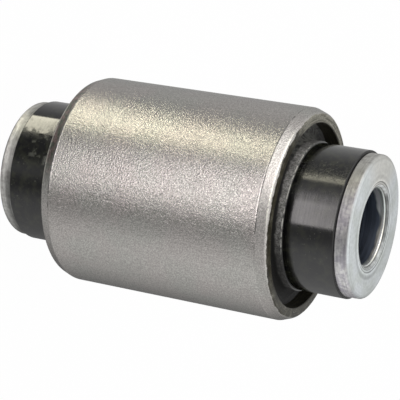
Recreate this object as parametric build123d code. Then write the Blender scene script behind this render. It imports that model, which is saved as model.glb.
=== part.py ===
from build123d import *
import os
from math import cos, radians, sin, tan

# Rubber-to-metal bush: two steel sleeves, one inside the other, with rubber vulcanised between them.
# Millimetres. The bush stands on the lower end of its inner sleeve: the origin is the middle of that
# end and +Z runs up the bore.

# ---- driving dimensions -------------------------------------------------------------------------

BOLT = 16.0                   # bolt that clamps the inner sleeve
INNER_DIAMETER = 30.0         # inner sleeve, outside
INNER_LENGTH = 81.0
OUTER_DIAMETER = 45.0         # outer sleeve, pressed into its housing
OUTER_LENGTH = 52.0

# ---- inner sleeve: thick steel tube, turned ends ------------------------------------------------

BOLT_CLEARANCE = 0.2          # on the diameter of the bore
MOUTH_CHAMFER = 0.7           # at 45 degrees round each mouth of the bore
MOUTH_DISH = 0.6              # width of the shallow dish round that chamfer
MOUTH_DISH_DEPTH = 0.1
INNER_EDGE_CHAMFER = 0.45

# ---- outer sleeve: steel tube with a shallow lead-in at each end --------------------------------

OUTER_WALL = 3.0
LEAD_IN_ANGLE = 20.0          # from the axis
LEAD_IN_LENGTH = 2.35         # along the axis
NOSE_CHAMFER = 0.55           # takes this much off the lead-in and off the end face
THROAT_CHAMFER = 0.2          # inner edge of the end face

# ---- rubber body: one moulding, bonded to both sleeves ------------------------------------------

SKIN = 0.5                    # thickness of the rubber along the inner sleeve
BARE_LAND = 3.0               # inner sleeve left bare beyond the skin
SKIN_END_CHAMFER = 0.25
LIP = 0.3                     # how far the lip stands proud of the skin
LIP_RISE = 0.6                # lip's edge above the outer sleeve's end face
TROUGH_DEPTH = 3.7            # lowest rubber below the outer sleeve's end face
TROUGH_ROUNDING = 2.5         # cove from the lip down to the trough's floor
FEATHER = 0.6                 # rubber climbing the outer sleeve's wall at 45 degrees

# ---- worked out ---------------------------------------------------------------------------------

bore_radius = (BOLT + BOLT_CLEARANCE) / 2
mouth_radius = bore_radius + MOUTH_CHAMFER
inner_radius = INNER_DIAMETER / 2
outer_radius = OUTER_DIAMETER / 2
wall_radius = outer_radius - OUTER_WALL
skin_radius = inner_radius + SKIN
lip_radius = skin_radius + LIP

# Heights are counted from the middle of the bush, which both halves mirror.
inner_end = INNER_LENGTH / 2
outer_end = OUTER_LENGTH / 2
skin_end = inner_end - BARE_LAND
lip_edge = outer_end + LIP_RISE
trough_floor = outer_end - TROUGH_DEPTH

SHARP = 0.0                   # rounding of a corner that has none


def turned_ring(upper_half):
    """Ring turned about Z from the upper half of its section.

    upper_half lists (radius, height above the middle, corner rounding) from the inside of the ring
    outwards. The lower half is its mirror image.
    """
    lower_half = [(radius, -height, rounding) for radius, height, rounding in reversed(upper_half)]
    corners = upper_half + lower_half
    points = [(radius, 0, height) for radius, height, _ in corners]
    roundings = [rounding for _, _, rounding in corners]
    section = make_face(FilletPolyline(*points, radius=roundings, close=True))
    ring = revolve(section, axis=Axis.Z)
    return Pos(0, 0, inner_end) * ring


def inner_sleeve():
    """Thick-walled tube. Each end has a chamfered bore mouth in a shallow dish, and a chamfered edge."""
    dish_floor = inner_end - MOUTH_DISH_DEPTH
    return turned_ring([
        (bore_radius, dish_floor - MOUTH_CHAMFER, SHARP),
        (mouth_radius, dish_floor, SHARP),
        (mouth_radius + MOUTH_DISH, inner_end, SHARP),
        (inner_radius - INNER_EDGE_CHAMFER, inner_end, SHARP),
        (inner_radius, inner_end - INNER_EDGE_CHAMFER, SHARP),
    ])


def outer_sleeve():
    """Tube with a shallow lead-in that a chamfered nose joins to a narrow end face."""
    slope = radians(LEAD_IN_ANGLE)
    nose_radius = outer_radius - LEAD_IN_LENGTH * tan(slope)
    return turned_ring([
        (wall_radius, outer_end - THROAT_CHAMFER, SHARP),
        (wall_radius + THROAT_CHAMFER, outer_end, SHARP),
        (nose_radius - NOSE_CHAMFER, outer_end, SHARP),
        (nose_radius + NOSE_CHAMFER * sin(slope), outer_end - NOSE_CHAMFER * cos(slope), SHARP),
        (outer_radius, outer_end - LEAD_IN_LENGTH, SHARP),
    ])


def rubber_body():
    """Rubber between the sleeves, with a trough, a lip and a skin along the inner sleeve at each end.

    From the inner sleeve outwards: the skin's end, the skin, the sharp lip that stands proud of it,
    the cove down to the trough's floor, and the feather that climbs the outer sleeve's wall.
    """
    return turned_ring([
        (inner_radius, skin_end, SHARP),
        (skin_radius - SKIN_END_CHAMFER, skin_end, SHARP),
        (skin_radius, skin_end - SKIN_END_CHAMFER, SHARP),
        (skin_radius, lip_edge, SHARP),
        (lip_radius, lip_edge, SHARP),
        (lip_radius, trough_floor, TROUGH_ROUNDING),
        (wall_radius - FEATHER, trough_floor, SHARP),
        (wall_radius, trough_floor + FEATHER, SHARP),
    ])


PIECES = {
    "inner_sleeve": inner_sleeve,
    "rubber_body": rubber_body,
    "outer_sleeve": outer_sleeve,
}

os.makedirs("parts", exist_ok=True)
for name, make_piece in PIECES.items():
    export_step(make_piece(), f"parts/{name}.step")
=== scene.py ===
from math import cos, pi, radians, sin, tan

import bpy
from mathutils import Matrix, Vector


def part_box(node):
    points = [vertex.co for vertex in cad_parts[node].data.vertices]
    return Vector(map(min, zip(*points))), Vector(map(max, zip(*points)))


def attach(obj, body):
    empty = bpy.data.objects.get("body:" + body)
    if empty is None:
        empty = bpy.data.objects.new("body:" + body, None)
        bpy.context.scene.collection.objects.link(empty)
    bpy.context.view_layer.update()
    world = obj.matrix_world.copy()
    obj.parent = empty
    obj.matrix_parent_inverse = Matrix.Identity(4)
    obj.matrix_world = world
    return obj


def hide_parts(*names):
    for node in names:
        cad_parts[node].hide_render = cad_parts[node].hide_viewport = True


# Rubber-to-metal bush: a zinc plated inner sleeve, a blasted outer sleeve and the rubber moulded
# between them. Radii and heights are in millimetres, and heights are counted from the middle of the
# bush. The finished meshes are in metres, standing on z = 0.

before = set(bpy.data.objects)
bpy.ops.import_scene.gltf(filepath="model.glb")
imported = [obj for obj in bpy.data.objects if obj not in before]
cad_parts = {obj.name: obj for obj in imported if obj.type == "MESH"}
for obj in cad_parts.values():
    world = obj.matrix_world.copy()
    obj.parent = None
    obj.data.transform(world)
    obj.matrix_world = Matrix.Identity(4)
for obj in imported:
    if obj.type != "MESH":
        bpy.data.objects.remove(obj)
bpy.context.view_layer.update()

MM = 0.001


# ---- sizes of the three rings -------------------------------------------------------------------

def reach(node):
    """Outer radius of a solid, and how far it reaches above the middle of the bush.

    Both are rounded to a hundredth of a millimetre, past which the frame's meshes aren't exact.
    """
    lowest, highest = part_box(node)
    half_length = (highest.z - lowest.z) / 2
    return round(highest.x / MM, 2), round(half_length / MM, 2)


INNER_RADIUS, INNER_END = reach("inner_sleeve")
OUTER_RADIUS, OUTER_END = reach("outer_sleeve")
WALL_RADIUS, SKIN_END = reach("rubber_body")

MOUTH_CHAMFER = 0.7           # at 45 degrees round each mouth of the bore
BORE_RADIUS = 8.1
MOUTH_RADIUS = BORE_RADIUS + MOUTH_CHAMFER
DISH_RADIUS = MOUTH_RADIUS + 0.6
DISH_FLOOR = INNER_END - 0.1

LEAD_IN_ANGLE = radians(20)   # from the axis
LEAD_IN_LENGTH = 2.35
LEAD_IN_START = OUTER_END - LEAD_IN_LENGTH
NOSE_RADIUS = OUTER_RADIUS - LEAD_IN_LENGTH * tan(LEAD_IN_ANGLE)

SKIN_RADIUS = INNER_RADIUS + 0.5
LIP_RADIUS = SKIN_RADIUS + 0.3
LIP_EDGE = OUTER_END + 0.6
TROUGH_FLOOR = OUTER_END - 3.7
FEATHER = 0.6                 # rubber climbing the outer sleeve's wall at 45 degrees


# ---- rings: a section drawn corner by corner, rounded, and spun ---------------------------------

SHARP = 0.0                   # rounding of a corner that has none
SMALL_ROUNDING = 0.4
LARGE_ROUNDING = 2.0
RING_STEPS = 192              # faces round each ring
SMOOTH_ANGLE = radians(32)    # a steeper corner stays an edge
SAME_PLACE = 0.01             # a point this near a corner is that corner
SEAM_GAP = 0.002              # points this near each other are merged


def draw_section(name, corners):
    """Draws a closed section in the XZ plane, extruding one corner to the next, and fills it."""
    bpy.ops.object.select_all(action="DESELECT")
    radius, height, _ = corners[0]
    bpy.ops.mesh.primitive_plane_add(size=MM, location=(radius * MM, 0, (INNER_END + height) * MM))
    piece = bpy.context.object
    piece.name = name
    bpy.ops.object.transform_apply(location=True, rotation=True, scale=True)
    bpy.ops.object.mode_set(mode="EDIT")
    bpy.ops.mesh.select_all(action="SELECT")
    bpy.ops.mesh.merge(type="CENTER")
    for here, there in zip(corners, corners[1:]):
        step = ((there[0] - here[0]) * MM, 0, (there[1] - here[1]) * MM)
        bpy.ops.mesh.extrude_region_move(TRANSFORM_OT_translate={"value": step})
    bpy.ops.mesh.select_all(action="SELECT")
    bpy.ops.mesh.edge_face_add()
    bpy.ops.object.mode_set(mode="OBJECT")
    return piece


def rounding_segments(rounding):
    """Faces across a rounded corner, more of them on a larger one."""
    if rounding > LARGE_ROUNDING:
        return 12
    if rounding >= SMALL_ROUNDING:
        return 7
    return 4


def round_corner(piece, radius, height, rounding):
    """Rounds the section's corner at this place."""
    place = Vector((radius * MM, 0, (INNER_END + height) * MM))
    bpy.ops.object.mode_set(mode="EDIT")
    bpy.ops.mesh.select_mode(type="VERT")
    bpy.ops.mesh.select_all(action="DESELECT")
    bpy.ops.object.mode_set(mode="OBJECT")
    for vertex in piece.data.vertices:
        vertex.select = (vertex.co - place).length < SAME_PLACE * MM
    bpy.ops.object.mode_set(mode="EDIT")
    bpy.ops.mesh.bevel(
        offset=rounding * MM,
        segments=rounding_segments(rounding),
        profile=0.5,
        affect="VERTICES",
    )
    bpy.ops.object.mode_set(mode="OBJECT")


def spin_section(piece):
    """Spins the section's outline once round the Z axis and closes the ring."""
    bpy.ops.object.mode_set(mode="EDIT")
    bpy.ops.mesh.select_all(action="SELECT")
    bpy.ops.mesh.delete(type="ONLY_FACE")
    bpy.ops.mesh.select_all(action="SELECT")
    bpy.ops.mesh.spin(steps=RING_STEPS, angle=2 * pi, center=(0, 0, 0), axis=(0, 0, 1))
    bpy.ops.mesh.select_all(action="SELECT")
    bpy.ops.mesh.remove_doubles(threshold=SEAM_GAP * MM)
    bpy.ops.mesh.normals_make_consistent(inside=False)
    bpy.ops.object.mode_set(mode="OBJECT")


def smooth(piece):
    """Smooth shading across shallow corners, with the large faces keeping their own direction."""
    bpy.ops.object.select_all(action="DESELECT")
    piece.select_set(True)
    bpy.context.view_layer.objects.active = piece
    bpy.ops.object.shade_smooth_by_angle(angle=SMOOTH_ANGLE)
    bpy.ops.object.modifier_add(type="WEIGHTED_NORMAL")
    weighting = piece.modifiers[-1]
    weighting.weight = 100
    weighting.keep_sharp = True
    bpy.ops.object.modifier_apply(modifier=weighting.name)


def turned_ring(name, upper_half):
    """Ring turned about Z from the upper half of its section.

    upper_half lists (radius, height above the middle, corner rounding) from the inside of the ring
    outwards. The lower half is its mirror image.
    """
    lower_half = [(radius, -height, rounding) for radius, height, rounding in reversed(upper_half)]
    corners = upper_half + lower_half
    piece = draw_section(name, corners)
    for radius, height, rounding in corners:
        if rounding != SHARP:
            round_corner(piece, radius, height, rounding)
    spin_section(piece)
    smooth(piece)
    return piece


def inner_sleeve():
    """Thick tube. Each bore mouth has a chamfer, then a dish of two fine grooves and a low ridge."""
    groove_floor = DISH_FLOOR - 0.04
    ridge_top = INNER_END - 0.03
    return turned_ring("inner_sleeve_plated", [
        (BORE_RADIUS, DISH_FLOOR - MOUTH_CHAMFER, 0.15),
        (MOUTH_RADIUS, DISH_FLOOR, 0.05),
        (MOUTH_RADIUS + 0.15, groove_floor, 0.05),
        (MOUTH_RADIUS + 0.33, ridge_top, 0.08),
        (DISH_RADIUS, groove_floor, 0.05),
        (DISH_RADIUS + 0.18, INNER_END, 0.06),
        (INNER_RADIUS, INNER_END, 0.75),
    ])


def outer_sleeve():
    """Tube with a shallow lead-in, a rounded nose and a narrow end face."""
    return turned_ring("outer_sleeve_blasted", [
        (WALL_RADIUS, OUTER_END, 0.25),
        (NOSE_RADIUS, OUTER_END, 0.6),
        (OUTER_RADIUS, LEAD_IN_START, 0.15),
    ])


def rubber_body():
    """Rubber from the inner sleeve out: skin, sharp lip, cove, trough floor and feather."""
    return turned_ring("rubber_body_moulded", [
        (INNER_RADIUS, SKIN_END, SHARP),
        (SKIN_RADIUS, SKIN_END, 0.25),
        (SKIN_RADIUS, LIP_EDGE, 0.08),
        (LIP_RADIUS, LIP_EDGE, 0.05),
        (LIP_RADIUS, TROUGH_FLOOR, 2.5),
        (WALL_RADIUS - FEATHER, TROUGH_FLOOR, 0.2),
        (WALL_RADIUS, TROUGH_FLOOR + FEATHER, SHARP),
    ])


# ---- directions round the bush ------------------------------------------------------------------

FRONT = radians(45)           # the bush's front is this far round from -Y towards +X


def direction(turn, rise):
    """Direction from the bush, turned from its front and risen above the level, in degrees.

    Turns go clockwise, seen from above.
    """
    angle = FRONT - radians(turn)
    flat = cos(radians(rise))
    return Vector((sin(angle) * flat, -cos(angle) * flat, sin(radians(rise))))


# ---- node trees ---------------------------------------------------------------------------------

def rgb(red, green, blue):
    """Opaque colour."""
    return (red, green, blue, 1.0)


def grey(level):
    """Opaque grey, 0 being black and 1 white."""
    return rgb(level, level, level)


class Nodes:
    """Node tree built value by value. A value is a number, a colour or another node's output."""

    def __init__(self, tree):
        self.tree = tree
        self.tree.nodes.clear()

    def add(self, kind, **settings):
        node = self.tree.nodes.new(kind)
        for setting, value in settings.items():
            setattr(node, setting, value)
        return node

    def put(self, socket, value):
        """Sets a socket to a number or colour, or links it to another node's output."""
        if isinstance(value, bpy.types.NodeSocket):
            self.tree.links.new(value, socket)
        else:
            socket.default_value = value

    def maths(self, operation, first, second=0.0, third=0.0):
        node = self.add("ShaderNodeMath", operation=operation)
        for socket, value in zip(node.inputs, (first, second, third)):
            self.put(socket, value)
        return node.outputs[0]

    def times(self, first, second):
        return self.maths("MULTIPLY", first, second)

    def plus(self, first, second, share=1.0):
        """The first number and this share of the second."""
        return self.maths("MULTIPLY_ADD", second, share, first)

    def less(self, first, second):
        return self.maths("SUBTRACT", first, second)

    def larger(self, first, second):
        return self.maths("MAXIMUM", first, second)

    def between(self, share, first, second):
        """Number that goes from the first to the second as the share goes from 0 to 1."""
        return self.plus(first, self.less(second, first), share)

    def ramp(self, value, low, high, start=0.0, end=1.0):
        """Number that goes smoothly from start to end as the value goes from low to high."""
        node = self.add("ShaderNodeMapRange", interpolation_type="SMOOTHSTEP")
        for name, amount in (("Value", value), ("From Min", low), ("From Max", high),
                             ("To Min", start), ("To Max", end)):
            self.put(node.inputs[name], amount)
        return node.outputs["Result"]

    def mix(self, share, first, second):
        """Colour that goes from the first to the second as the share goes from 0 to 1."""
        node = self.add("ShaderNodeMix", data_type="RGBA")
        first_colour, second_colour = node.inputs[6], node.inputs[7]
        self.put(node.inputs[0], share)
        self.put(first_colour, first)
        self.put(second_colour, second)
        return node.outputs[2]


class Finish(Nodes):
    """Node tree of one finish. Its patterns lie on the piece's own coordinates, in millimetres."""

    def __init__(self, name):
        self.material = bpy.data.materials.new(name)
        self.material.use_nodes = True
        super().__init__(self.material.node_tree)
        self.shader = self.add("ShaderNodeBsdfPrincipled")
        output = self.add("ShaderNodeOutputMaterial")
        self.put(output.inputs["Surface"], self.shader.outputs[0])
        metres = self.add("ShaderNodeTexCoord")
        self.place = self.scaled(metres.outputs["Object"], 1 / MM)
        split = self.add("ShaderNodeSeparateXYZ")
        self.put(split.inputs[0], self.place)
        self.x, self.y, z = split.outputs
        square = self.plus(self.times(self.x, self.x), self.times(self.y, self.y))
        self.radius = self.maths("SQRT", square)
        self.signed_height = self.less(z, INNER_END)
        self.height = self.maths("ABSOLUTE", self.signed_height)

    def set(self, **values):
        """Sets the shader's sockets, named in small letters with _ for a space."""
        sockets = {socket.name.lower().replace(" ", "_"): socket for socket in self.shader.inputs}
        for name, value in values.items():
            self.put(sockets[name], value)

    def scaled(self, vector, amount):
        node = self.add("ShaderNodeVectorMath", operation="SCALE")
        self.put(node.inputs[0], vector)
        self.put(node.inputs["Scale"], amount)
        return node.outputs[0]

    def shade(self, colour, amount):
        """Colour made lighter or darker by this amount, 1 leaving it as it is."""
        return self.scaled(colour, amount)

    def noise(self, size, detail=2.0, roughness=0.5, place=None):
        """Grains of about this size in millimetres, from 0 to 1."""
        node = self.add("ShaderNodeTexNoise")
        self.put(node.inputs["Vector"], place or self.place)
        self.put(node.inputs["Scale"], 1 / size)
        self.put(node.inputs["Detail"], detail)
        self.put(node.inputs["Roughness"], roughness)
        return node.outputs["Fac"]

    def spread(self, noise, start=0.0, end=1.0):
        """Noise spread out to go from start to end. Nearly all of it lies between 0.3 and 0.7."""
        return self.ramp(noise, 0.30, 0.70, start, end)

    def axial_lines(self, width, length):
        """Lines of this width that run along the bush."""
        stretch = self.add("ShaderNodeVectorMath", operation="MULTIPLY")
        self.put(stretch.inputs[0], self.place)
        self.put(stretch.inputs[1], (1.0, 1.0, width / length))
        return self.noise(width, place=stretch.outputs[0])

    def turned_lines(self, width, length):
        """Lines of this width that run round the bush, as a lathe leaves them."""
        across_and_along = (
            self.times(self.x, width / length),
            self.times(self.y, width / length),
            self.plus(self.radius, self.signed_height),
        )
        lay = self.add("ShaderNodeCombineXYZ")
        for socket, value in zip(lay.inputs, across_and_along):
            self.put(socket, value)
        return self.noise(width, place=lay.outputs[0])

    def band(self, value, middle, half_width):
        """1 where the value is at the middle, falling to 0 at this distance from it."""
        away = self.maths("ABSOLUTE", self.less(value, middle))
        return self.ramp(away, half_width, 0.0)

    def side(self, turn):
        """1 on the side of the bush at this turn from its front, and -1 on the opposite side."""
        towards = direction(turn, 0)
        across = self.plus(self.times(self.y, towards.y), self.times(self.x, towards.x))
        return self.maths("DIVIDE", across, self.radius)

    def upper_half(self):
        """1 on the bush's upper half and 0 on its lower half, changing within 5 mm of the middle."""
        return self.ramp(self.signed_height, -5.0, 5.0)

    def bump(self, height, distance):
        """Relief of this distance in millimetres where the height is 1."""
        node = self.add("ShaderNodeBump")
        self.put(node.inputs["Height"], height)
        self.put(node.inputs["Strength"], 1.0)
        self.put(node.inputs["Distance"], distance * MM)
        return node.outputs["Normal"]


# ---- blasted steel of the outer sleeve ----------------------------------------------------------

def blasted_surface(finish, grit):
    """Grey steel, speckled by the shot and faintly brushed along the sleeve."""
    tone = finish.ramp(finish.noise(9.0), 0.35, 0.65)
    steel = finish.mix(tone, rgb(0.440, 0.417, 0.398), rgb(0.425, 0.417, 0.393))
    specks = finish.ramp(grit, 0.28, 0.72, 0.80, 1.20)
    brushing = finish.ramp(finish.axial_lines(0.35, 9.0), 0.25, 0.75, 0.97, 1.03)
    return finish.shade(steel, finish.times(specks, brushing))


def run_on_lead_in(finish, steel, crumbs):
    """Bonding film that ran over one side of the lower lead-in, in brown and green patches."""
    one_side = finish.ramp(finish.side(35), 0.72, 0.93)
    ragged_height = finish.plus(finish.signed_height, finish.noise(0.8), 0.5)
    run = finish.ramp(ragged_height, -LEAD_IN_START + 0.15, -LEAD_IN_START - 0.10)
    patches = finish.ramp(finish.noise(1.2), 0.38, 0.62)
    tint = finish.mix(patches, rgb(0.34, 0.255, 0.235), rgb(0.17, 0.19, 0.145))
    share = finish.times(finish.times(run, one_side), 0.85)
    return finish.mix(share, steel, finish.shade(tint, crumbs))


def painted_lead_in_edge(finish, steel):
    """Start of the lead-in: a painted highlight beside it at the front, and a broken line along it,
    painted shade on one side and a painted highlight on the others.
    """
    # Painted highlight beside the edge, at the front.
    painted_crest_highlight = finish.times(finish.band(finish.height, LEAD_IN_START - 0.26, 0.16),
                         finish.ramp(finish.side(10), 0.93, 0.99))
    steel = finish.mix(finish.times(painted_crest_highlight, 0.7), steel, rgb(0.80, 0.76, 0.74))
    # Broken line along the edge: painted shade on one side, painted highlight elsewhere.
    line = finish.times(finish.band(finish.height, LEAD_IN_START, 0.14),
                        finish.ramp(finish.noise(1.8), 0.40, 0.55))
    painted_highlight_and_shade = finish.ramp(finish.side(20), 0.45, 0.80, 0.30, -0.65)
    return finish.shade(steel, finish.plus(1.0, line, painted_highlight_and_shade))


def painted_nose_highlight(finish, steel):
    """Broken painted highlight along the nose at the front."""
    # A band of painted highlight on the nose, broken by noise.
    rubbed = finish.times(finish.band(finish.radius, OUTER_RADIUS - 0.70, 0.14),
                          finish.ramp(finish.side(18), 0.84, 0.97))
    rubbed = finish.times(rubbed, finish.ramp(finish.noise(1.5), 0.30, 0.52))
    return finish.mix(finish.times(rubbed, 0.8), steel, rgb(0.88, 0.86, 0.76))


def bonding_film(finish):
    """Where bonding film is left: the end faces to a ragged, chipped edge, and all of the inside."""
    ragged_radius = finish.plus(finish.radius, finish.turned_lines(0.30, 3.0), 0.35)
    ragged_radius = finish.plus(ragged_radius, finish.noise(1.1, 3.0), 0.7)
    film = finish.ramp(ragged_radius, OUTER_RADIUS - 0.40, OUTER_RADIUS - 0.58)
    chips = finish.ramp(finish.noise(0.55), 0.66, 0.72)
    film = finish.plus(film, chips, -0.6)
    inside = finish.ramp(finish.radius, WALL_RADIUS + 0.45, WALL_RADIUS + 0.30)
    return finish.larger(film, inside)


def film_colour(finish, crumbs):
    """Near black where the film is thick, and brown in turned arcs where it is scraped thin. The
    thin film gathers on one side, where its lighter brown is also painted light.
    """
    arcs = finish.ramp(finish.turned_lines(0.30, 6.0), 0.36, 0.62)
    # Thin film gathers on one side: scraped there, and painted light of that side.
    scraped_and_painted_light = finish.ramp(finish.side(92), 0.70, 0.93)
    scraped_and_painted_light = finish.ramp(finish.plus(finish.noise(2.0), scraped_and_painted_light, 0.75), 0.40, 1.10)
    thin = finish.times(scraped_and_painted_light, finish.ramp(finish.radius, WALL_RADIUS + 0.10, WALL_RADIUS + 0.40))
    thick_film = finish.mix(arcs, rgb(0.014, 0.012, 0.006), rgb(0.040, 0.036, 0.020))
    thin_film = finish.mix(arcs, rgb(0.075, 0.069, 0.043), rgb(0.255, 0.245, 0.195))
    return finish.shade(finish.mix(thin, thick_film, thin_film), crumbs)


def blasted_steel():
    """Shot-blasted steel. A dark bonding film is left on the end faces and inside."""
    finish = Finish("blasted_steel")
    grit = finish.noise(0.29, 2.0, 0.6)
    crumbs = finish.spread(finish.noise(0.42, 3.0, 0.7), 0.55, 1.45)
    steel = blasted_surface(finish, grit)
    steel = run_on_lead_in(finish, steel, crumbs)
    steel = painted_lead_in_edge(finish, steel)
    steel = painted_nose_highlight(finish, steel)
    film = bonding_film(finish)
    roughness = finish.spread(finish.noise(0.4), 0.22, 0.25)
    finish.set(
        base_color=finish.mix(film, steel, film_colour(finish, crumbs)),
        metallic=finish.less(1.0, film),
        roughness=finish.plus(roughness, film, 0.18),
        specular_ior_level=0.3,
        specular_tint=grey(0.8),
        normal=finish.bump(grit, 0.07),
    )
    return finish.material


# ---- zinc plate of the inner sleeve -------------------------------------------------------------

def plated_end(finish, lathe):
    """Pale, cloudy plate of the end faces, turned and scuffed, lighter near the front, darker at the
    outer edge, and with a painted warm highlight on one side.
    """
    clouds = finish.spread(finish.noise(5.5, 3.0))
    plate = finish.mix(clouds, rgb(0.560, 0.590, 0.570), rgb(0.655, 0.685, 0.700))
    # Painted warm highlight on one side of the end face.
    warm_painted_highlight = finish.ramp(finish.side(85), 0.70, 1.0, 0.0, 0.8)
    plate = finish.mix(warm_painted_highlight, plate, rgb(0.660, 0.650, 0.615))
    scuffs = finish.spread(finish.noise(0.7, 3.0, 0.6), 0.93, 1.07)
    lighter_near_front = finish.ramp(finish.side(-10), -0.3, 1.0, 0.97, 1.10)
    plate = finish.shade(plate, finish.times(scuffs, lighter_near_front))
    plate = finish.shade(plate, finish.spread(lathe, 0.955, 1.045))
    outer_edge = finish.ramp(finish.radius, INNER_RADIUS - 1.1, INNER_RADIUS - 0.6, 1.0, 0.85)
    return finish.shade(plate, outer_edge)


def rings_round_mouth(finish, plate):
    """A lighter ring round the dish, a ring of painted shade on one side, and painted shade in the
    dish's two grooves, fainter to the left and right.
    """
    lighter_ring = finish.band(finish.radius, DISH_RADIUS + 0.40, 0.35)
    plate = finish.shade(plate, finish.plus(1.0, lighter_ring, 0.14))
    # Painted shade in a ring on one side of the mouth.
    painted_shade_ring = finish.times(finish.band(finish.radius, DISH_RADIUS + 1.10, 0.75),
                          finish.ramp(finish.side(-75), 0.1, 0.8, 0.08, 0.26))
    plate = finish.shade(plate, finish.less(1.0, painted_shade_ring))
    # Painted shade in the dish's two grooves.
    painted_groove_shade = finish.larger(finish.band(finish.radius, DISH_RADIUS + 0.03, 0.18),
                          finish.band(finish.radius, MOUTH_RADIUS + 0.10, 0.14))
    left_or_right = finish.maths("ABSOLUTE", finish.side(90))
    darkening = finish.ramp(left_or_right, 0.45, 0.85, -0.80, -0.60)
    return finish.shade(plate, finish.plus(1.0, painted_groove_shade, darkening))


def painted_light_on_tube_ends(finish, upper):
    """Painted light and shade on the bare ends of the tube: the upper end lighter on two sides and
    darker between them, the lower end darker, most on one side, and towards its outer end lighter at
    the front.
    """
    # Painted light and shade on the upper end.
    clean_skin_and_painted_light = finish.times(finish.ramp(finish.side(-80), 0.30, 1.0, 0.77, 1.60),
                         finish.ramp(finish.side(80), 0.80, 0.97, 1.0, 1.40))
    # Painted shade on the lower end, and painted light and shade towards its outer end.
    painted_shade_lower_end = finish.ramp(finish.side(-55), 0.3, 0.9, 0.82, 0.42)
    painted_light_at_outer_end = finish.ramp(finish.side(15), -0.4, 0.95, 0.50, 1.32)
    towards_rim = finish.ramp(finish.signed_height, -SKIN_END - 0.7, -INNER_END + 1.0)
    painted_shade_lower_end = finish.between(towards_rim, painted_shade_lower_end, painted_light_at_outer_end)
    return finish.between(upper, painted_shade_lower_end, clean_skin_and_painted_light)


def plated_tube(finish):
    """Greyer, streaked plate along the tube, with painted light and shade on its bare ends and a
    painted shadow line where the rubber's skin ends.
    """
    upper = finish.upper_half()
    streaks = finish.plus(finish.noise(0.8, 3.0, 0.6), finish.noise(2.4))
    streaked = finish.ramp(streaks, 0.80, 1.20)
    bluish = finish.mix(streaked, rgb(0.32, 0.31, 0.335), rgb(0.50, 0.495, 0.49))
    greyish = finish.mix(streaked, rgb(0.36, 0.355, 0.34), rgb(0.50, 0.50, 0.48))
    bluish_side = finish.times(finish.ramp(finish.side(-35), 0.2, 0.8), upper)
    tube = finish.mix(bluish_side, greyish, bluish)
    tube = finish.shade(tube, finish.spread(finish.turned_lines(0.25, 5.0), 0.84, 1.16))
    tube = finish.shade(tube, painted_light_on_tube_ends(finish, upper))
    # Painted shadow line just beyond the end of the rubber's skin.
    painted_shadow_line = finish.plus(SKIN_END + 0.12, finish.side(70), 0.14)
    beyond_line = finish.less(finish.height, painted_shadow_line)
    return finish.shade(tube, finish.ramp(beyond_line, -0.08, 0.10, 0.06, 1.0))


def bore_wall(finish):
    """Turned wall of the bore: painted light near the mouth, reaching deeper on one side, with a
    painted warm glint on another, and painted shade further in beyond a ragged edge.
    """
    scores = finish.ramp(finish.turned_lines(0.7, 14.0), 0.35, 0.65, 0.78, 1.25)
    ragged_height = finish.plus(finish.height, finish.noise(3.2, 1.0))
    painted_light_deeper = finish.ramp(finish.side(128), 0.80, 0.97, -0.05, 0.9)
    ragged_height = finish.plus(ragged_height, painted_light_deeper)
    # Near the mouth the wall is painted light, and further in painted shade.
    plated = finish.ramp(ragged_height, INNER_END - 1.5, INNER_END - 0.7)
    # Painted warm glint on one side near the mouth.
    warm_painted_highlight = finish.ramp(finish.side(-158), 0.62, 0.97)
    plate = finish.mix(warm_painted_highlight, rgb(0.94, 1.0, 0.96), rgb(1.0, 0.98, 0.89))
    return finish.shade(finish.mix(plated, rgb(0.15, 0.175, 0.225), plate), scores)


def mouth_chamfer(finish):
    """Cut chamfer of the bore's mouth: blotchy and lighter outwards, with a painted highlight on one
    side and painted shade on two others.
    """
    outwards = finish.ramp(finish.radius, BORE_RADIUS + 0.20, BORE_RADIUS + 0.40)
    cut = finish.mix(outwards, rgb(0.16, 0.16, 0.155), rgb(0.44, 0.455, 0.450))
    blotches_and_painted_light = (
        finish.spread(finish.noise(1.6), 0.75, 1.25),
        # Painted shade, a painted highlight and painted shade, on three sides.
        finish.ramp(finish.side(162), 0.65, 0.95, 1.10, 0.45),
        finish.ramp(finish.side(98), 0.80, 0.99, 1.0, 2.0),
        finish.ramp(finish.side(122), 0.90, 0.99, 1.0, 0.74),
    )
    for amount in blotches_and_painted_light:
        cut = finish.shade(cut, amount)
    return cut


def zinc_steel():
    """Zinc plate: pale and cloudy on the end faces, greyer along the tube, and dark with painted
    shade deep in the bore.
    """
    finish = Finish("zinc_steel")
    lathe = finish.turned_lines(0.25, 10.0)
    in_bore = finish.ramp(finish.radius, BORE_RADIUS + 0.20, BORE_RADIUS + 0.06)
    in_mouth = finish.ramp(finish.radius, MOUTH_RADIUS + 0.06, MOUTH_RADIUS)
    on_end = finish.ramp(finish.height, INNER_END - 0.55, INNER_END - 0.10)
    end_face = rings_round_mouth(finish, plated_end(finish, lathe))
    plate = finish.mix(on_end, plated_tube(finish), end_face)
    plate = finish.mix(in_mouth, plate, mouth_chamfer(finish))
    finish.set(
        base_color=finish.mix(in_bore, plate, bore_wall(finish)),
        metallic=1.0,
        roughness=finish.spread(lathe, 0.38, 0.50),
        specular_tint=grey(0.7),
        normal=finish.bump(finish.noise(0.3, 3.0), 0.015),
    )
    return finish.material


# ---- rubber between the sleeves -----------------------------------------------------------------

def upper_rub(finish, upper):
    """Narrow rubbed strip on the upper skin."""
    strip = finish.times(finish.ramp(finish.side(38), 0.984, 0.997),
                         finish.ramp(finish.noise(0.45), 0.42, 0.62))
    return finish.times(strip, upper)


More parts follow.
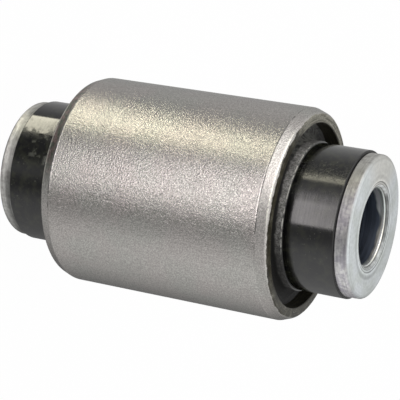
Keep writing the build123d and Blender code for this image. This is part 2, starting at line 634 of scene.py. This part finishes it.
def lower_rub(finish, lower):
    """Rubbed blotches on the lower skin, and one solid patch out towards its end."""
    blotches = finish.times(finish.ramp(finish.side(24), 0.93, 0.98),
                            finish.ramp(finish.noise(1.7, 3.0), 0.56, 0.68, 0.0, 0.7))
    patch = finish.times(finish.ramp(finish.side(7), 0.9955, 0.9990),
                         finish.ramp(finish.signed_height, -LIP_EDGE - 4.0, -LIP_EDGE - 2.8))
    patch = finish.times(patch, finish.ramp(finish.noise(0.9), 0.30, 0.50))
    return finish.times(finish.larger(blotches, patch), lower)


def skin_colour(finish, rubbed_grey):
    """Black rubber with faint smears, greyed by dust and where it is rubbed."""
    dust = finish.times(finish.ramp(finish.noise(0.45), 0.66, 0.74), 0.8)
    dusty = finish.larger(dust, rubbed_grey)
    smears = finish.ramp(finish.noise(1.6, 4.0, 0.6), 0.40, 0.70)
    clean_skin_and_painted_light = finish.mix(smears, rgb(0.0035, 0.0035, 0.004), rgb(0.016, 0.017, 0.011))
    return finish.mix(dusty, clean_skin_and_painted_light, rgb(0.055, 0.058, 0.045))


def skin_roughness(finish, mould_lines, lower, rubbed):
    """Glossy skin, dulled where it is rubbed, by a haze at the front and by a smudge beside it."""
    glossy = finish.spread(mould_lines, 0.10, 0.17)
    glossy = finish.times(glossy, finish.plus(1.0, lower, -0.40))
    glossy = finish.plus(glossy, rubbed, 0.22)
    haze = finish.times(finish.ramp(finish.side(16.5), 0.990, 0.999), finish.less(1.0, lower))
    glossy = finish.plus(glossy, haze, 0.12)
    smudge = finish.times(finish.ramp(finish.side(28), 0.992, 0.9995),
                          finish.ramp(finish.noise(1.3), 0.36, 0.60))
    return finish.plus(glossy, smudge, finish.plus(0.02, lower, 0.14))


def bloomed_lip(finish):
    """Where the lip and the cove below it are grey with bloom, down to an uneven edge."""
    uneven_height = finish.plus(finish.height, finish.noise(1.5), 0.9)
    uneven_height = finish.plus(uneven_height, finish.ramp(finish.side(60), 0.55, 1.0), 0.5)
    beside_lip = finish.ramp(finish.radius, LIP_RADIUS + 0.9, LIP_RADIUS + 0.2)
    return finish.times(beside_lip, finish.ramp(uneven_height, LIP_EDGE - 1.15, LIP_EDGE - 0.65))


def bloom_colour(finish, grain):
    """Grainy, blotchy bloom, lighter at the front, with a painted highlight in pieces along the
    lip's edge.
    """
    bloom = finish.mix(finish.spread(grain), rgb(0.060, 0.060, 0.055), rgb(0.26, 0.255, 0.245))
    blotches = finish.ramp(finish.noise(1.1), 0.35, 0.65, 0.65, 1.35)
    lighter_at_front = finish.ramp(finish.side(20), 0.50, 0.98, 0.34, 1.35)
    bloom = finish.shade(bloom, finish.times(blotches, lighter_at_front))
    # Painted highlight along the lip's edge at the front.
    painted_lip_highlight = finish.times(finish.ramp(finish.height, LIP_EDGE - 0.22, LIP_EDGE - 0.08),
                             finish.ramp(finish.noise(0.9), 0.46, 0.58))
    painted_lip_highlight = finish.times(painted_lip_highlight, finish.ramp(finish.side(15), 0.45, 0.85))
    return finish.mix(painted_lip_highlight, bloom, rgb(0.80, 0.79, 0.72))


def trough_colour(finish):
    """Black trough, with grey patches on one side: dust, and a painted reflection there."""
    dust_and_painted_reflection = finish.times(finish.ramp(finish.noise(1.0, 3.0), 0.36, 0.58),
                           finish.ramp(finish.side(78), 0.75, 0.96))
    return finish.mix(dust_and_painted_reflection, rgb(0.009, 0.009, 0.008), rgb(0.120, 0.120, 0.108))


def black_rubber():
    """Moulded rubber: a glossy skin along the inner sleeve, a matt grey lip and a black trough."""
    finish = Finish("black_rubber")
    grain = finish.noise(0.34, 3.0, 0.6)
    mould_lines = finish.turned_lines(0.25, 6.0)
    upper = finish.upper_half()
    lower = finish.less(1.0, upper)
    above_lip = finish.ramp(finish.height, LIP_EDGE - 0.05, LIP_EDGE + 0.05)
    skin_end = finish.ramp(finish.height, SKIN_END - 0.26, SKIN_END - 0.14)
    on_skin = finish.times(above_lip, finish.less(1.0, skin_end))

    rubbed_grey = lower_rub(finish, lower)
    rubbed = finish.plus(upper_rub(finish, upper), rubbed_grey)
    matt = finish.mix(bloomed_lip(finish), trough_colour(finish), bloom_colour(finish, grain))
    matt = finish.mix(above_lip, matt, grey(0.002))

    dull = finish.spread(grain, 0.52, 0.68)
    glossy = skin_roughness(finish, mould_lines, lower, rubbed)
    relief = finish.times(grain, finish.plus(1.0, on_skin, -0.75))
    relief = finish.plus(relief, mould_lines, 0.22)
    finish.set(
        base_color=finish.mix(on_skin, matt, skin_colour(finish, rubbed_grey)),
        metallic=0.0,
        roughness=finish.between(on_skin, dull, glossy),
        ior=1.6,
        normal=finish.bump(relief, 0.012),
    )
    return finish.material


# ---- camera and lamps ---------------------------------------------------------------------------

MIDDLE = Vector((0, 0, INNER_END * MM))

CAMERA_PLACE = (222.44, -222.44, 183.49)         # from the origin
CAMERA_ANGLES = (-21.0387, -63.8316, 158.0731)   # degrees about X, Y and Z
SENSOR_WIDTH = 36.0
LENS = 144.91


def add_camera():
    """Camera in front of the bush, 24 degrees above the level and rolled by 100 degrees.

    The roll lays the bush across the frame, with its upper end on the right.
    """
    bpy.ops.object.select_all(action="DESELECT")
    bpy.ops.object.camera_add(
        location=[distance * MM for distance in CAMERA_PLACE],
        rotation=[radians(angle) for angle in CAMERA_ANGLES],
    )
    camera = bpy.context.object
    camera.data.sensor_width = SENSOR_WIDTH
    camera.data.lens = LENS
    bpy.context.scene.camera = camera


def soft_box(name, turn, rise, distance, width, height, level, colour):
    """Rectangular lamp that faces the bush's middle, its sizes and distance in millimetres.

    level is how bright the lamp's face is, white paper being 1.
    """
    away = direction(turn, rise)
    data = bpy.data.lights.new(name, "AREA")
    data.shape = "RECTANGLE"
    data.size = width * MM
    data.size_y = height * MM
    data.energy = level * pi * data.size * data.size_y
    data.color = colour
    lamp = bpy.data.objects.new(name, data)
    bpy.context.scene.collection.objects.link(lamp)
    lamp.location = MIDDLE + away * distance * MM
    lamp.rotation_euler = away.to_track_quat("Z", "Y").to_euler()
    lamp.visible_camera = False


def add_lamps():
    """Three strips that stand below the level, and one large box above it."""
    soft_box("fill_strip", turn=9.5, rise=-19.6, distance=640, width=540, height=100,
             level=4.35, colour=(1.0, 0.95, 0.95))
    soft_box("key_strip", turn=76.5, rise=-33, distance=710, width=370, height=44,
             level=8.6, colour=(1.0, 0.95, 0.76))
    soft_box("side_strip", turn=61, rise=-18, distance=640, width=100, height=220,
             level=4.0, colour=(1.0, 0.95, 0.74))
    soft_box("high_box", turn=50, rise=22, distance=640, width=940, height=300,
             level=1.6, colour=(1.0, 0.96, 0.94))


# ---- studio walls and floor ---------------------------------------------------------------------

WHITE = grey(1.0)
CEILING = grey(1.20)
ROOM_LIGHT = grey(0.70)       # even light that falls on the bush from all sides

LOW_WALL = [                  # (turn from the front in degrees, brightness)
    (-180, 0.15), (-155, 0.19), (-115, 0.74), (-75, 1.05), (-52, 0.89), (-33, 0.29),
    (-18, 0.33), (10, 0.36), (30, 0.38), (40, 0.90), (50, 0.50), (80, 0.42), (96, 0.46),
    (122, 0.74), (150, 0.60), (180, 0.40),
]
HIGH_WALL = [
    (-180, 0.80), (-140, 0.50), (-95, 0.60), (-65, 0.78), (-42, 0.55), (-12, 0.55),
    (5, 0.80), (30, 1.05), (60, 1.20), (90, 1.10), (125, 0.75), (180, 0.80),
]
TABLE = [
    (-180, 0.15), (-155, 0.17), (-115, 0.47), (-75, 0.72), (-52, 0.63), (-33, 0.17),
    (-18, 0.26), (-6, 0.62), (8, 0.30), (18, 0.10), (50, 0.12), (66, 0.30), (96, 0.40),
    (122, 0.64), (150, 0.56), (180, 0.36),
]

# The sine of the rise at which one surface starts to give way to the next, and at which it has.
TABLE_TO_LOW_WALL = (-0.52, -0.40)
LOW_TO_HIGH_WALL = (-0.05, 0.22)
HIGH_WALL_TO_CEILING = (0.40, 0.80)

FLOOR_SIZE = 6.0              # metres
FLOOR_GLOW = 0.98             # share of the floor's white that is its own light


class Studio(Nodes):
    """World shader: the studio's table, walls and ceiling, by direction."""

    def __init__(self):
        world = bpy.data.worlds.new("studio")
        world.use_nodes = True
        world.cycles.sampling_method = "NONE"
        bpy.context.scene.world = world
        super().__init__(world.node_tree)
        looking = self.add("ShaderNodeTexCoord")
        turned = self.add("ShaderNodeMapping", vector_type="VECTOR")
        self.put(turned.inputs["Vector"], looking.outputs["Generated"])
        self.put(turned.inputs["Rotation"], (0, 0, radians(90) - FRONT))
        split = self.add("ShaderNodeSeparateXYZ")
        self.put(split.inputs[0], turned.outputs[0])
        angle = self.maths("ARCTAN2", split.outputs["Y"], split.outputs["X"])
        self.turn = self.plus(0.5, angle, -0.5 / pi)
        self.rise = split.outputs["Z"]

    def surface(self, levels):
        """Brightness all round the bush, from (turn in degrees, level) pairs."""
        node = self.add("ShaderNodeValToRGB")
        node.color_ramp.interpolation = "B_SPLINE"
        stops = node.color_ramp.elements
        while len(stops) < len(levels):
            stops.new(0.5)
        for stop, (turn, level) in zip(stops, levels):
            stop.position = (turn + 180) / 360
            stop.color = grey(level)
        self.put(node.inputs["Fac"], self.turn)
        return node.outputs["Color"]

    def stack(self, heights, below, above):
        """One brightness below the lower height and another above the higher one."""
        low, high = heights
        return self.mix(self.ramp(self.rise, low, high), below, above)


def add_world():
    """The camera sees white, reflections see the studio's surfaces, and the rest is even light."""
    studio = Studio()
    walls = studio.stack(TABLE_TO_LOW_WALL, studio.surface(TABLE), studio.surface(LOW_WALL))
    walls = studio.stack(LOW_TO_HIGH_WALL, walls, studio.surface(HIGH_WALL))
    room = studio.stack(HIGH_WALL_TO_CEILING, walls, CEILING)
    path = studio.add("ShaderNodeLightPath")
    by_camera = path.outputs["Is Camera Ray"]
    mirrored = studio.larger(path.outputs["Is Glossy Ray"], path.outputs["Is Transmission Ray"])
    seen = studio.mix(mirrored, ROOM_LIGHT, room)
    seen = studio.mix(by_camera, seen, WHITE)
    background = studio.add("ShaderNodeBackground")
    output = studio.add("ShaderNodeOutputWorld")
    studio.put(background.inputs["Color"], seen)
    studio.put(output.inputs["Surface"], background.outputs[0])


def pale_floor():
    """Nearly white paint that mostly glows, so that it stays as pale as the backdrop."""
    material = bpy.data.materials.new("pale_floor")
    material.use_nodes = True
    nodes = Nodes(material.node_tree)
    paint = nodes.add("ShaderNodeBsdfDiffuse")
    glow = nodes.add("ShaderNodeEmission")
    both = nodes.add("ShaderNodeMixShader")
    output = nodes.add("ShaderNodeOutputMaterial")
    nodes.put(paint.inputs["Color"], grey(0.98))
    nodes.put(both.inputs[0], FLOOR_GLOW)
    nodes.put(both.inputs[1], paint.outputs[0])
    nodes.put(both.inputs[2], glow.outputs[0])
    nodes.put(output.inputs["Surface"], both.outputs[0])
    return material


def add_floor():
    """Floor that only the camera sees, so that it neither lights nor shades the bush."""
    bpy.ops.object.select_all(action="DESELECT")
    bpy.ops.mesh.primitive_plane_add(size=FLOOR_SIZE, location=(0, 0, 0))
    floor = bpy.context.object
    floor.name = "floor"
    floor.data.materials.append(pale_floor())
    floor.visible_diffuse = False
    floor.visible_glossy = False
    floor.visible_transmission = False
    floor.visible_shadow = False


# ---- the bush -----------------------------------------------------------------------------------

PIECES = (
    ("inner_sleeve", inner_sleeve, zinc_steel, "zinc_steel"),
    ("rubber_body", rubber_body, black_rubber, "black_rubber"),
    ("outer_sleeve", outer_sleeve, blasted_steel, "blasted_steel"),
)

for node, make_piece, make_finish, slot in PIECES:
    piece = make_piece()
    piece.data.materials.append(make_finish())
    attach(piece, "root")
    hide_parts(node)

add_floor()
add_world()
add_lamps()
add_camera()
bpy.context.scene.view_settings.view_transform = "Standard"
